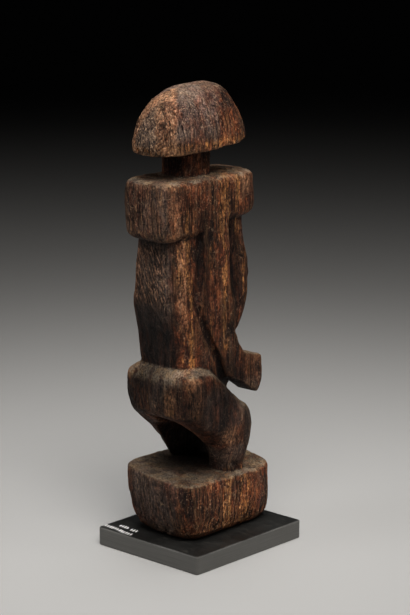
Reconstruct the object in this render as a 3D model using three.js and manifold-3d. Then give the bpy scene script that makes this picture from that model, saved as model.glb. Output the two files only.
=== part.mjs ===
// Small wooden figure on a thin display plate, millimetres, +Z up.
// The figure looks towards -Y, its right hand is on the -X side.
// The origin is the centre of the plate's underside.
//
// Sizes below are given in the figure's own terms:
//   back / front : distance along the figure's looking direction (front is -Y)
//   left / right : distance to the figure's left (negative) and right (positive, -X)
//   z            : height over the table

import * as THREE from 'three';
import { mergeVertices } from 'three/addons/utils/BufferGeometryUtils.js';
import Module from 'manifold-3d';

const wasm = await Module();
wasm.setup();

// ---------------------------------------------------------------- sizes
const PLATE = { deep: 100, wide: 88, high: 12, edge: 0.7, corner: 1.6 };
const STAND_GAP = 0.3;             // the wood rests on the plate across this gap
const RING_POINTS = 36;            // points round one section
const ARM_POINTS_PER_CORNER = 3;

// The block under the feet. It draws in towards its underside and its top
// falls a little to the front and to the right.
const BASE_TOP = { z: 53.4, fallFront: 0.03, fallRight: 0.10, round: 2.2 };
const BASE_SECTIONS = [
  { z: PLATE.high + STAND_GAP, back: -30.4, front: 44.0, left: -25.0, right: 20.2, nb: 3.8, nf: 3.2, nr: 5 },
  { z: 14.0, back: -33.6, front: 46.4, left: -27.8, right: 24.0, nb: 4.2, nf: 3.4, nr: 6 },
  { z: 18.0, back: -37.4, front: 48.2, left: -30.2, right: 26.8, nb: 4.6, nf: 3.6, nr: 8 },
  { z: 26.0, back: -40.8, front: 48.8, left: -31.6, right: 28.2, nb: 4.8, nf: 3.6, nr: 11 },
  { z: 37.0, back: -43.2, front: 48.4, left: -32.4, right: 29.2, nb: 5.0, nf: 3.5, nr: 12 },
  { z: 46.0, back: -44.4, front: 47.8, left: -32.4, right: 29.2, nb: 5.0, nf: 3.5, nr: 12 },
];
// Flat taken off the block's back right corner: how far it stands from the axis at each height.
const BASE_NEAR_FACET = [[8, 27.0], [12.3, 31.4], [14, 35.2], [18, 39.8], [26, 43.3], [37, 45.6], [46, 46.5], [60, 47.4]];

// Hips, thighs, knees and shins: one mass, bent at the knee.
const SEAT_SECTIONS = [
  { z: 44.0, back: -2.6, front: 24.6, half: 22.4, nb: 4.6, nf: 2.3, skew: 0.16 },
  { z: 56.0, back: -4.8, front: 25.8, half: 23.4, nb: 4.6, nf: 2.3, skew: 0.18 },
  { z: 64.0, back: -8.2, front: 27.8, half: 26.0, nb: 4.8, nf: 2.3, skew: 0.20 },
  { z: 72.0, back: -13.4, front: 29.8, half: 28.2, nb: 5.0, nf: 2.3, skew: 0.16 },
  { z: 80.0, back: -22.0, front: 32.0, half: 29.8, nb: 5.2, nf: 2.3, skew: 0.08 },
  { z: 87.0, back: -31.0, front: 31.4, half: 30.8, nb: 5.4, nf: 2.3, skew: 0.02 },
  { z: 91.5, back: -36.6, front: 28.6, half: 31.2, nb: 5.4, nf: 2.4 },
  { z: 94.2, back: -39.8, front: 23.8, half: 31.3, nb: 5.2, nf: 2.5, skew: -0.04 },
  { z: 95.2, back: -40.7, front: 21.8, half: 31.3, nb: 5.2, nf: 2.5, skew: -0.04 },
  { z: 104.0, back: -41.4, front: 10.0, half: 31.6, nb: 5.4, nf: 2.7 },
  { z: 110.0, back: -41.8, front: 2.4, half: 31.4, nb: 5.4, nf: 3.0 },
  { z: 115.0, back: -42.0, front: -4.6, half: 31.0, nb: 5.2, nf: 3.2 },
  { z: 119.0, back: -41.8, front: -10.4, half: 30.4, nb: 5.0, nf: 3.4 },
  { z: 121.6, back: -40.9, front: -14.6, half: 29.0, nb: 4.8, nf: 3.6 },
  { z: 124.0, back: -38.6, front: -18.0, half: 25.8, nb: 4.6, nf: 3.6 },
  { z: 126.4, back: -35.2, front: -21.0, half: 22.0, nb: 4.4, nf: 3.6 },
];
const SEAT_RISE_RIGHT = 0.045;     // the top of the hips stands a little higher on the right
// The hollow between the legs, seen from behind: wide at the back, narrower in front.
const LEG_GAP = { left: -22, right: 6, leftFront: -11, rightFront: 7, floor: 47.0, top: 86.0, back: -34, front: 42 };
// Behind the right shin the hollow is cut in obliquely from the back right. The outline is
// given on the right side as [forward, height]; the cut stops a little past the figure's middle.
const SHIN_CUT = {
  right: 24, stop: -7, along: [0.703, -0.649, -0.291],
  outline: [[-75, 109], [-66.7, 104.9], [-56, 100.3], [-47.8, 96], [-40.5, 91.4], [-33.2, 86.5], [-25.8, 80.3], [-19.2, 73.5], [-17.8, 67.8], [-17.6, 61], [-17, 44], [-75, 44]],
};

const TORSO_SECTIONS = [
  { z: 108.0, back: -35.2, front: 12.0, half: 21.8, nb: 6.0, nf: 4.0 },
  { z: 122.0, back: -36.0, front: 13.0, half: 22.6, nb: 6.0, nf: 4.0 },
  { z: 134.0, back: -37.2, front: 13.6, half: 23.2, nb: 6.0, nf: 4.0 },
  { z: 145.0, back: -38.6, front: 19.0, half: 23.6, nb: 6.0, nf: 4.0 },
  { z: 155.0, back: -40.6, front: 25.4, half: 24.0, nb: 6.0, nf: 4.0 },
  { z: 164.0, back: -42.6, front: 28.4, half: 24.3, nb: 6.0, nf: 4.0 },
  { z: 168.0, back: -42.8, front: 29.6, half: 24.0, nb: 6.0, nf: 4.0 },
  { z: 178.0, back: -42.4, front: 31.0, half: 22.9, nb: 6.0, nf: 4.0 },
  { z: 188.0, back: -42.4, front: 30.6, half: 21.8, nb: 6.0, nf: 4.0 },
  { z: 200.0, back: -42.2, front: 28.4, half: 20.0, nb: 6.0, nf: 4.0 },
  { z: 212.0, back: -42.0, front: 27.4, half: 18.8, nb: 6.0, nf: 4.0 },
  { z: 226.0, back: -42.0, front: 27.4, half: 18.6, nb: 6.0, nf: 4.0 },
];

// The shoulders: a thick slab with full ends. Its back part hangs a little lower.
const SLAB = { riseBottom: 0.02, riseTop: -0.02, roundTop: 4.0, roundBottom: 4.2 };
const SLAB_SECTIONS = [
  { z: 216.0, back: -52.0, front: 35.6, half: 21.2, nb: 5.0, nf: 4.4 },
  { z: 224.0, back: -53.6, front: 36.8, half: 21.6, nb: 5.0, nf: 4.4 },
  { z: 232.0, back: -54.0, front: 36.6, half: 21.8, nb: 5.0, nf: 4.4 },
  { z: 245.8, back: -53.8, front: 36.0, half: 21.4, nb: 5.0, nf: 4.4 },
];
const SLAB_BACK = { front: -13, round: 5.0, rise: 0.03, within: 0.15 };
const SLAB_BACK_SECTIONS = [
  { z: 209.6, back: -52.4, front: 35.6, half: 21.1, nb: 5.0, nf: 4.4 },
  { z: 216.6, back: -53.0, front: 35.6, half: 21.4, nb: 5.0, nf: 4.4 },
  { z: 224.0, back: -53.6, front: 36.8, half: 21.6, nb: 5.0, nf: 4.4 },
  { z: 228.0, back: -53.8, front: 36.8, half: 21.7, nb: 5.0, nf: 4.4 },
];

const NECK = { back: -27.2, front: 1.6, half: 11.8, bottom: 240, top: 266, n: 4.0 };

// The head: a plain half dome, flat underneath, its crown a little forward.
// size is the share of the rim's lengths, middle is where the section is centred.
const HEAD = { deep: 42.6, wide: 22.8, rimRound: 2.0, rimRise: 0.03, section: 2.7 };
const HEAD_SECTIONS = [
  { z: 263.4, size: 1.000, middle: -9.9 },
  { z: 268.6, size: 0.990, middle: -9.7 },
  { z: 276.0, size: 0.940, middle: -9.9 },
  { z: 284.0, size: 0.858, middle: -10.2 },
  { z: 290.0, size: 0.764, middle: -9.8 },
  { z: 295.0, size: 0.652, middle: -8.4 },
  { z: 299.0, size: 0.518, middle: -6.4 },
  { z: 301.7, size: 0.368, middle: -4.4 },
  { z: 303.0, size: 0.220, middle: -3.0 },
  { z: 303.5, size: 0.090, middle: -2.4 },
];

// One arm, seen from the side: straight down from the shoulder, bent at the
// elbow, with the hand held forward over the knee.
const ARM = { inner: 7.5, outerTop: 21.6, outerMid: 25.4, outerHand: 25.6, edge: 1.8 };
const ARM_OUTLINE = [
  { u: -18.0, z: 224.0, r: 0.5 },
  { u: -19.6, z: 190.0, r: 40 },
  { u: -26.6, z: 167.0, r: 8 },
  { u: -16.8, z: 145.0, r: 20 },
  { u: -5.4, z: 126.0, r: 10 },
  { u: -1.0, z: 115.2, r: 3 },
  { u: 12.0, z: 110.8, r: 30 },
  { u: 28.8, z: 99.2, r: 2.2 },
  { u: 32.8, z: 108.0, r: 8 },
  { u: 32.4, z: 125.2, r: 3.0 },
  { u: 15.4, z: 129.8, r: 2.6 },
  { u: 11.0, z: 137.8, r: 10 },
  { u: 7.6, z: 146.0, r: 12 },
  { u: 4.4, z: 176.0, r: 30 },
  { u: 4.2, z: 224.0, r: 0.5 },
];

// ---------------------------------------------------------------- shaping
// The figure's own axes (front u, right v) in the part's frame.
const place = (u, v, z) => [-v, -u, z];

const mix = (a, b, t) => a + (b - a) * t;

const full = (s) => ({ left: -s.half, right: s.half, nb: 4, nf: 4, skew: 0, nr: s.nb, ...s });

// One section: four quarter curves, square-ish at the back (nb), the front (nf)
// and the back right corner (nr). Skew swings the back forward on the right.
function sectionPoints(s, slopeU = 0, slopeV = 0) {
  const uc = (s.back + s.front) / 2, a = (s.front - s.back) / 2;
  const vc = (s.left + s.right) / 2, b = (s.right - s.left) / 2;
  const pts = [];
  for (let i = 0; i < RING_POINTS; i++) {
    const t = -2 * Math.PI * i / RING_POINTS;
    const c = Math.cos(t), d = Math.sin(t);
    const e = 2 / (c >= 0 ? s.nf : (d > 0 && s.nr) || s.nb);
    const u = uc + a * Math.sign(c) * Math.pow(Math.abs(c), e);
    const v = vc + b * Math.sign(d) * Math.pow(Math.abs(d), e);
    pts.push(place(u + (s.skew || 0) * v * (1 - c) / 2, v, s.z + slopeU * (u - uc) + slopeV * (v - vc)));
  }
  return pts;
}

// A section drawn in by d on every side, for rounded rims.
const inset = (s, d, z) => ({ ...s, back: s.back + d, front: s.front - d, left: s.left + d, right: s.right - d, z });

// Closed solid over a stack of rings with the same number of points. The ends
// are fanned from their middles, or cut along a bent outline where one is given.
function loft(rings, bent = null) {
  const n = rings[0].length;
  const pos = [];
  for (const ring of rings) for (const p of ring) pos.push(...p);
  const index = [];
  const centre = (ring) => ring.reduce((s, p) => [s[0] + p[0] / n, s[1] + p[1] / n, s[2] + p[2] / n], [0, 0, 0]);
  const low = rings.length * n, high = low + 1;
  if (!bent) pos.push(...centre(rings[0]), ...centre(rings[rings.length - 1]));
  for (let k = 0; k < rings.length - 1; k++) {
    for (let i = 0; i < n; i++) {
      const j = (i + 1) % n, a = k * n + i, b = k * n + j, c = a + n, d = b + n;
      index.push(a, b, d, a, d, c);
    }
  }
  const last = (rings.length - 1) * n;
  if (bent) {
    const turn = Math.sign(THREE.ShapeUtils.area(bent));
    for (const t of THREE.ShapeUtils.triangulateShape(bent, [])) {
      const [a, b, c] = turn > 0 ? t : [t[0], t[2], t[1]];
      index.push(a, c, b, last + a, last + b, last + c);
    }
  } else {
    for (let i = 0; i < n; i++) {
      const j = (i + 1) % n;
      index.push(low, j, i, high, last + i, last + j);
    }
  }
  const g = new THREE.BufferGeometry();
  g.setAttribute('position', new THREE.Float32BufferAttribute(pos, 3));
  g.setIndex(index);
  return g;
}

// A stack of sections with rounded bottom and top rims.
function block(sections, { roundBottom = 0, roundTop = 0, slopeBottom = [0, 0], slopeTop = [0, 0], steps = 3 } = {}) {
  const list = sections.map(full);
  const z0 = list[0].z, z1 = list[list.length - 1].z;
  const stack = [];
  const at = (z) => {
    let k = 0;
    while (k < list.length - 2 && z > list[k + 1].z) k++;
    const t = (z - list[k].z) / (list[k + 1].z - list[k].z);
    const s = {};
    for (const key of ['back', 'front', 'left', 'right', 'nb', 'nf', 'nr', 'skew']) s[key] = mix(list[k][key], list[k + 1][key], t);
    return { ...s, z };
  };
  for (let i = 0; i < steps && roundBottom > 0; i++) {
    const f = (Math.PI / 2) * (1 - i / steps);
    stack.push(inset(at(z0), roundBottom * (1 - Math.cos(f)), z0 + roundBottom * (1 - Math.sin(f))));
  }
  stack.push(at(z0 + roundBottom));
  for (const s of list) if (s.z > z0 + roundBottom + 0.5 && s.z < z1 - roundTop - 0.5) stack.push(s);
  stack.push(at(z1 - roundTop));
  for (let i = 1; i <= steps && roundTop > 0; i++) {
    const f = (Math.PI / 2) * (i / steps);
    stack.push(inset(at(z1), roundTop * (1 - Math.cos(f)), z1 - roundTop * (1 - Math.sin(f))));
  }
  return loft(stack.map((s) => {
    const t = (s.z - z0) / (z1 - z0);
    return sectionPoints(s, mix(slopeBottom[0], slopeTop[0], t), mix(slopeBottom[1], slopeTop[1], t));
  }));
}

// Corner list to an outline with each corner rounded by its own radius.
function outline(corners) {
  const n = corners.length, pts = [];
  for (let i = 0; i < n; i++) {
    const p = new THREE.Vector2(corners[i].u, corners[i].z);
    const a = new THREE.Vector2(corners[(i + n - 1) % n].u, corners[(i + n - 1) % n].z).sub(p);
    const b = new THREE.Vector2(corners[(i + 1) % n].u, corners[(i + 1) % n].z).sub(p);
    const half = Math.acos(THREE.MathUtils.clamp(a.dot(b) / (a.length() * b.length()), -1, 1)) / 2;
    const reach = Math.min(corners[i].r / Math.tan(half), 0.42 * Math.min(a.length(), b.length()));
    const start = p.clone().addScaledVector(a.normalize(), reach);
    const end = p.clone().addScaledVector(b.normalize(), reach);
    for (let k = 0; k <= ARM_POINTS_PER_CORNER; k++) {
      const t = k / ARM_POINTS_PER_CORNER, q = 1 - t;
      pts.push(new THREE.Vector2(
        q * q * start.x + 2 * q * t * p.x + t * t * end.x,
        q * q * start.y + 2 * q * t * p.y + t * t * end.y));
    }
  }
  return pts;
}

// An outline drawn in by d along its corner normals.
function drawnIn(pts, d) {
  const n = pts.length;
  let area = 0;
  for (let i = 0; i < n; i++) area += pts[i].cross(pts[(i + 1) % n]);
  const side = Math.sign(area);
  return pts.map((p, i) => {
    const t = pts[(i + 1) % n].clone().sub(pts[(i + n - 1) % n]).normalize();
    return new THREE.Vector2(p.x - side * t.y * d, p.y + side * t.x * d);
  });
}

// One arm as a thick board cut to the outline, with its outer edges eased.
// side +1 is the figure's right arm, -1 its left arm.
function arm(side) {
  const flat = outline(ARM_OUTLINE);
  const outer = (z) => {
    if (z > 165) return mix(ARM.outerMid, ARM.outerTop, Math.min(1, (z - 165) / 50));
    return mix(ARM.outerHand, ARM.outerMid, Math.max(0, (z - 115) / 50));
  };
  const rings = [];
  const layer = (d, vOf) => rings.push(drawnIn(flat, d).map((p) => place(p.x, side * vOf(p.y), p.y)));
  layer(0, () => ARM.inner);
  layer(0, (z) => mix(ARM.inner, outer(z), 0.6));
  for (let i = 0; i <= 3; i++) {
    const f = (Math.PI / 2) * (i / 3);
    layer(ARM.edge * (1 - Math.cos(f)), (z) => outer(z) - ARM.edge * (1 - Math.sin(f)));
  }
  return loft(rings, flat);
}

// The dome: sections that shrink and drift forward towards the crown.
function dome() {
  const rim = HEAD_SECTIONS[0], crown = HEAD_SECTIONS[HEAD_SECTIONS.length - 1];
  const ring = ({ z, size, middle }) => sectionPoints({
    z, back: middle - HEAD.deep * size, front: middle + HEAD.deep * size, left: -HEAD.wide * size, right: HEAD.wide * size,
    nb: HEAD.section, nf: HEAD.section,
  }, HEAD.rimRise * (crown.z - z) / (crown.z - rim.z));
  const rings = [];
  for (let i = 0; i < 3; i++) {
    const f = (Math.PI / 2) * (1 - i / 3);
    rings.push(ring({
      z: rim.z + HEAD.rimRound * (1 - Math.sin(f)), size: rim.size - (HEAD.rimRound / HEAD.wide) * (1 - Math.cos(f)), middle: rim.middle,
    }));
  }
  for (const s of HEAD_SECTIONS.slice(1)) rings.push(ring(s));
  return loft(rings);
}

// The space between the legs: an arch-topped wedge run from back to front.
function legGap() {
  const across = (u) => {
    const t = (u - LEG_GAP.back) / (LEG_GAP.front - LEG_GAP.back);
    const lo = mix(LEG_GAP.left, LEG_GAP.leftFront, t), hi = mix(LEG_GAP.right, LEG_GAP.rightFront, t);
    const top = LEG_GAP.top - 8 * t, c = (lo + hi) / 2, w = (hi - lo) / 2, pts = [];
    pts.push([hi, LEG_GAP.floor], [hi, mix(LEG_GAP.floor, top, 0.5)]);
    for (let i = 1; i < 8; i++) {
      const f = Math.PI * i / 8;
      pts.push([c + w * Math.sign(Math.cos(f)) * Math.pow(Math.abs(Math.cos(f)), 0.8), mix(LEG_GAP.floor, top, 0.5 + 0.5 * Math.pow(Math.sin(f), 0.8))]);
    }
    pts.push([lo, mix(LEG_GAP.floor, top, 0.5)], [lo, LEG_GAP.floor]);
    return pts.map(([v, z]) => place(u, v, z));
  };
  return loft([LEG_GAP.back, mix(LEG_GAP.back, LEG_GAP.front, 0.5), LEG_GAP.front].map(across));
}

// The oblique cut behind the right shin.
function shinCut() {
  const flat = SHIN_CUT.outline.map(([u, z]) => new THREE.Vector2(u, z));
  const [du, dv, dz] = SHIN_CUT.along;
  const ring = (t) => flat.map((p) => place(p.x + du * t, SHIN_CUT.right + dv * t, p.y + dz * t));
  const half = [40, 120].map((z) => [[-70, SHIN_CUT.stop], [60, SHIN_CUT.stop], [60, 60], [-70, 60]].map(([u, v]) => place(u, v, z)));
  return solid(loft([ring(-30), ring(56)], flat)).intersect(solid(loft(half)));
}

// A tall wedge that takes the flat off the base block's back right corner.
function baseFacet() {
  return loft(BASE_NEAR_FACET.map(([z, d]) => [[d, -40], [d + 40, -40], [d + 40, 40], [d, 40]]
    .map(([n, t]) => place((-n + t) / Math.SQRT2, (n + t) / Math.SQRT2, z))));
}

// Everything in front of a plane across the figure.
function inFrontOf(u) {
  return loft([150, 260].map((z) => [[u, -60], [u + 120, -60], [u + 120, 60], [u, 60]].map(([a, v]) => place(a, v, z))));
}

// ---------------------------------------------------------------- joining
function solid(geometry) {
  const g = geometry.clone();
  g.deleteAttribute('normal');
  g.deleteAttribute('uv');
  const m = mergeVertices(g, 1e-5);
  const make = (tri) => new wasm.Manifold(new wasm.Mesh({
    numProp: 3, vertProperties: new Float32Array(m.attributes.position.array), triVerts: tri,
  }));
  const tri = new Uint32Array(m.index.array);
  let s = make(tri);
  if (s.volume() < 0) {
    for (let i = 0; i < tri.length; i += 3) [tri[i + 1], tri[i + 2]] = [tri[i + 2], tri[i + 1]];
    s = make(tri);
  }
  return s;
}

function geometryOf(s) {
  const m = s.getMesh();
  const g = new THREE.BufferGeometry();
  g.setAttribute('position', new THREE.Float32BufferAttribute(Float32Array.from(m.vertProperties), 3));
  g.setIndex(Array.from(m.triVerts));
  const flat = g.toNonIndexed();
  flat.computeVertexNormals();
  return flat;
}

// ---------------------------------------------------------------- figure
const baseBlock = solid(block(BASE_SECTIONS.concat([{ ...BASE_SECTIONS[BASE_SECTIONS.length - 1], z: BASE_TOP.z }]), {
  roundTop: BASE_TOP.round, slopeTop: [-BASE_TOP.fallFront, -BASE_TOP.fallRight],
})).subtract(solid(baseFacet()));

const seat = solid(block(SEAT_SECTIONS, { slopeTop: [0, SEAT_RISE_RIGHT] })).subtract(solid(legGap())).subtract(shinCut());
const torso = solid(block(TORSO_SECTIONS));
const slab = solid(block(SLAB_SECTIONS, {
  roundTop: SLAB.roundTop, roundBottom: SLAB.roundBottom,
  slopeBottom: [SLAB.riseBottom, 0], slopeTop: [SLAB.riseTop, 0],
})).add(solid(block(SLAB_BACK_SECTIONS.map((s) => inset(full(s), SLAB_BACK.within, s.z)), {
  roundBottom: SLAB_BACK.round, slopeBottom: [SLAB_BACK.rise, 0],
})).subtract(solid(inFrontOf(SLAB_BACK.front))));
const neck = solid(block([
  { z: NECK.bottom, back: NECK.back, front: NECK.front, half: NECK.half, nb: NECK.n, nf: NECK.n },
  { z: NECK.top, back: NECK.back, front: NECK.front, half: NECK.half, nb: NECK.n, nf: NECK.n },
]));
const head = solid(dome());

const figureSolid = baseBlock
  .add(seat)
  .add(torso)
  .add(slab)
  .add(neck)
  .add(head)
  .add(solid(arm(1)))
  .add(solid(arm(-1)));

const wood = new THREE.MeshStandardMaterial({ name: 'wood', color: 0x3a2418, roughness: 0.78, metalness: 0.0 });
const figure = new THREE.Mesh(geometryOf(figureSolid), wood);
figure.name = 'figure';

// ---------------------------------------------------------------- plate
const plateShape = new THREE.Shape();
{
  const x = PLATE.wide / 2 - PLATE.edge, y = PLATE.deep / 2 - PLATE.edge, r = PLATE.corner;
  plateShape.moveTo(-x + r, -y);
  plateShape.lineTo(x - r, -y);
  plateShape.quadraticCurveTo(x, -y, x, -y + r);
  plateShape.lineTo(x, y - r);
  plateShape.quadraticCurveTo(x, y, x - r, y);
  plateShape.lineTo(-x + r, y);
  plateShape.quadraticCurveTo(-x, y, -x, y - r);
  plateShape.lineTo(-x, -y + r);
  plateShape.quadraticCurveTo(-x, -y, -x + r, -y);
}
const plateGeometry = new THREE.ExtrudeGeometry(plateShape, {
  depth: PLATE.high - 2 * PLATE.edge, bevelEnabled: true, bevelThickness: PLATE.edge, bevelSize: PLATE.edge,
  bevelSegments: 2, curveSegments: 4,
});
const black = new THREE.MeshStandardMaterial({ name: 'plinth', color: 0x1c1c1b, roughness: 0.5, metalness: 0.0 });
const plinth = new THREE.Mesh(plateGeometry, black);
plinth.name = 'plinth';
plinth.position.z = PLATE.edge;

const group = new THREE.Group();
group.add(figure, plinth);
export default group;
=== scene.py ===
"""Carved wood figure on a thin black display plate. Metres, +Z up, the figure looks towards -Y."""

import math

import bpy
import numpy as np
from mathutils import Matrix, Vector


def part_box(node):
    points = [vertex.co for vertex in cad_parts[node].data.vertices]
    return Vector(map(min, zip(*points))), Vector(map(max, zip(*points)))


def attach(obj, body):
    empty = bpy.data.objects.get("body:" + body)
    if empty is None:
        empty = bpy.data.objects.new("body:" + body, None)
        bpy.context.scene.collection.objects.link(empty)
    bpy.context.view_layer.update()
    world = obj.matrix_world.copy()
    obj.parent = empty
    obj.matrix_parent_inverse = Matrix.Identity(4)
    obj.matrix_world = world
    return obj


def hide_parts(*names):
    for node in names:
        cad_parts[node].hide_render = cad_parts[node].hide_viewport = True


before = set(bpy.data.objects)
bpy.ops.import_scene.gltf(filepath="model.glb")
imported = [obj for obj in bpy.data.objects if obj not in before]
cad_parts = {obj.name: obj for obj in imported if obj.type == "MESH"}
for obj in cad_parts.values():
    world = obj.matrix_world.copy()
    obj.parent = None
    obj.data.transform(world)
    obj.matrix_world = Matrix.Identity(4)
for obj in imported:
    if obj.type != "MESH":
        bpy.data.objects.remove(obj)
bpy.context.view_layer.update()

MM = 0.001
VOXEL = 0.62            # mm, grid the carved surface is laid out on
MAX_TRIANGLES = 196000  # of the figure

# ------------------------------------------------------------------ noise
_tables = {}


def _table(seed):
    if seed not in _tables:
        _tables[seed] = np.random.default_rng(seed).random((32, 32, 32)).astype(np.float32)
    return _tables[seed]


def noise(p, seed):
    """Smooth lattice noise, 0 to 1. p is (N, 3) in cells."""
    t = _table(seed)
    c = np.floor(p)
    f = p - c
    f = f * f * (3 - 2 * f)
    i = c.astype(np.int64) % 32
    j = (i + 1) % 32
    x0, y0, z0 = i.T
    x1, y1, z1 = j.T
    fx, fy, fz = f.T
    a = t[x0, y0, z0] * (1 - fx) + t[x1, y0, z0] * fx
    b = t[x0, y1, z0] * (1 - fx) + t[x1, y1, z0] * fx
    d = t[x0, y0, z1] * (1 - fx) + t[x1, y0, z1] * fx
    e = t[x0, y1, z1] * (1 - fx) + t[x1, y1, z1] * fx
    return (a * (1 - fy) + b * fy) * (1 - fz) + (d * (1 - fy) + e * fy) * fz


def fbm(p, seed, octaves=3):
    total, size, amp = 0.0, 0.0, 1.0
    for k in range(octaves):
        total = total + amp * noise(p * 2.0 ** k + 3.7 * k, seed + k)
        size += amp
        amp *= 0.5
    return total / size


def step(x, lo, hi):
    t = np.clip((x - lo) / (hi - lo), 0, 1)
    return t * t * (3 - 2 * t)


def cells(*size):
    """Turns the figure's own coordinates (mm) into noise cells of that size."""
    return lambda q: q / np.array(size)


# ------------------------------------------------------------------ the carved surface
def remeshed(node, voxel):
    o = bpy.data.objects.new("figure_grid", node.data.copy())
    bpy.context.scene.collection.objects.link(o)
    m = o.modifiers.new("grid", "REMESH")
    m.mode = "VOXEL"
    m.voxel_size = voxel * MM
    m.adaptivity = 0.0
    dg = bpy.context.evaluated_depsgraph_get()
    mesh = bpy.data.meshes.new_from_object(o.evaluated_get(dg))
    old = o.data
    bpy.data.objects.remove(o)
    bpy.data.meshes.remove(old)
    return mesh


def recesses(node):
    """How shut in the surface is, 0 open to 1 shut in, at points of a coarse grid."""
    from mathutils import Vector, bvhtree, kdtree  # noqa: PLC0415

    mesh = remeshed(node, 2.6)
    tree = bvhtree.BVHTree.FromPolygons([v.co[:] for v in mesh.vertices], [f.vertices[:] for f in mesh.polygons])
    rays = []
    for k in range(40):
        z = 1 - (k + 0.5) / 40
        a = k * math.pi * (3 - math.sqrt(5))
        rays.append(np.array([math.cos(a) * math.sqrt(1 - z * z), math.sin(a) * math.sqrt(1 - z * z), z]))
    tangent = np.array(rays)
    points = kdtree.KDTree(len(mesh.vertices))
    shut = np.zeros(len(mesh.vertices))
    for i, v in enumerate(mesh.vertices):
        n = np.array(v.normal)
        a = np.cross(n, (0, 0, 1) if abs(n[2]) < 0.9 else (1, 0, 0))
        a /= np.linalg.norm(a)
        b = np.cross(n, a)
        start = v.co + v.normal * 0.0012
        blocked = 0.0
        weight = 0.0
        for t in tangent:
            d = Vector(a * t[0] + b * t[1] + n * t[2])
            weight += t[2]
            hit = tree.ray_cast(start, d, 0.07)
            if hit[0] is not None:
                blocked += t[2] * (1 - 0.6 * hit[3] / 0.07)
        shut[i] = blocked / weight
        points.insert(v.co, i)
    points.balance()
    bpy.data.meshes.remove(mesh)
    return points, shut


recess_points, recess_shut = recesses(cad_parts["figure"])
grid = remeshed(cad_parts["figure"], VOXEL)
count = len(grid.vertices)
raw = np.empty(count * 3, np.float32)
grid.vertices.foreach_get("co", raw)
P = raw.reshape(-1, 3).astype(np.float64) / MM
edges = np.empty(len(grid.edges) * 2, np.int32)
grid.edges.foreach_get("vertices", edges)
E0, E1 = edges.reshape(-1, 2).T
degree = np.maximum(np.bincount(E0, minlength=count) + np.bincount(E1, minlength=count), 1)
loops = np.empty(len(grid.loops), np.int32)
grid.loops.foreach_get("vertex_index", loops)
starts = np.empty(len(grid.polygons), np.int32)
grid.polygons.foreach_get("loop_start", starts)
totals = np.empty(len(grid.polygons), np.int32)
grid.polygons.foreach_get("loop_total", totals)
quads = starts[totals == 4]
Q = np.stack([loops[quads + k] for k in range(4)], axis=1)


def around(a):
    """Mean of each point's neighbours."""
    if a.ndim == 1:
        return (np.bincount(E0, a[E1], count) + np.bincount(E1, a[E0], count)) / degree
    return np.stack([around(a[:, k]) for k in range(a.shape[1])], axis=1)


def smooth(a, times, share=0.5):
    for _ in range(times):
        a = a + share * (around(a) - a)
    return a


def normals(p):
    n = np.cross(p[Q[:, 2]] - p[Q[:, 0]], p[Q[:, 3]] - p[Q[:, 1]])
    out = np.zeros_like(p)
    for k in range(4):
        for c in range(3):
            out[:, c] += np.bincount(Q[:, k], n[:, c], count)
    return out / np.maximum(np.linalg.norm(out, axis=1, keepdims=True), 1e-9)


P = smooth(P, 4)
N = normals(P)
soft = smooth(P, 12)
lift = np.sum((soft - P) * N, axis=1)           # below zero on outward edges, above in creases
P = P + N * (np.minimum(lift, 0) * 0.55 + np.maximum(lift, 0) * 0.10)[:, None]
N = normals(P)
edge = np.clip(-lift / 0.45, 0, 1)              # outward edges
crease = np.clip(lift / 0.4, 0, 1)

# The figure's own axes: u forward, v to its right, z up.
U, V, Z = -P[:, 1], -P[:, 0], P[:, 2]
NU, NV, NZ = -N[:, 1], -N[:, 0], N[:, 2]
W = np.stack([U, V, Z], axis=1)
side_face = np.abs(NV)
upright = 1 - np.abs(NZ)


def blob(u, v, z, ru, rv, rz, soft_edge=1.0):
    """1 in the middle of an ellipsoid, 0 outside."""
    d = np.sqrt(((U - u) / ru) ** 2 + ((V - v) / rv) ** 2 + ((Z - z) / rz) ** 2)
    return 1 - step(d, 1 - 0.5 * soft_edge, 1 + 0.5 * soft_edge)


def near_path(points, a, b):
    """Distance to a line of points in the plane of a and b."""
    best = np.full(count, 1e9)
    for (a0, b0), (a1, b1) in zip(points[:-1], points[1:]):
        da, db = a1 - a0, b1 - b0
        t = np.clip(((a - a0) * da + (b - b0) * db) / (da * da + db * db), 0, 1)
        best = np.minimum(best, np.hypot(a - a0 - t * da, b - b0 - t * db))
    return best


def groove(distance, wide, deep):
    return -deep * np.exp(-(distance / wide) ** 2)


depth = np.zeros(count)

# slow unevenness of hand carving, and flat cuts of a small adze
depth += 0.9 * (fbm(cells(34, 34, 46)(W), 11, 2) - 0.5)
depth += 0.50 * (fbm(cells(11, 11, 19)(W), 21, 2) - 0.5)


def facets(q, seed):
    """Distance-like field of shallow flat cuts: each cell's cut leans its own way."""
    rng = np.random.default_rng(seed)
    lean = rng.normal(size=(4096, 3))
    base = np.floor(q)
    best = np.full(len(q), 1e9)
    out = np.zeros(len(q))
    jit = rng.random((4096, 3))
    for dx in (-1, 0, 1):
        for dy in (-1, 0, 1):
            for dz in (-1, 0, 1):
                cell = base + np.array([dx, dy, dz])
                key = (cell[:, 0] * 73 + cell[:, 1] * 149 + cell[:, 2] * 271).astype(np.int64) % 4096
                rel = q - cell - jit[key]
                d = np.sum(rel * rel, axis=1)
                hit = d < best
                best = np.where(hit, d, best)
                out = np.where(hit, np.sum(rel * lean[key], axis=1), out)
    return out


depth += 0.20 * np.clip(facets(cells(10, 10, 17)(W + 3 * fbm(cells(9, 9, 9)(W), 31, 2)[:, None]), 5), -1.5, 1.5)

depth += 0.34 * np.clip(facets(cells(21, 21, 26)(W + 4 * fbm(cells(14, 14, 14)(W), 33, 2)[:, None]), 8), -1.2, 1.2) * (0.5 + 0.5 * step(Z, 258, 264))

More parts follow.
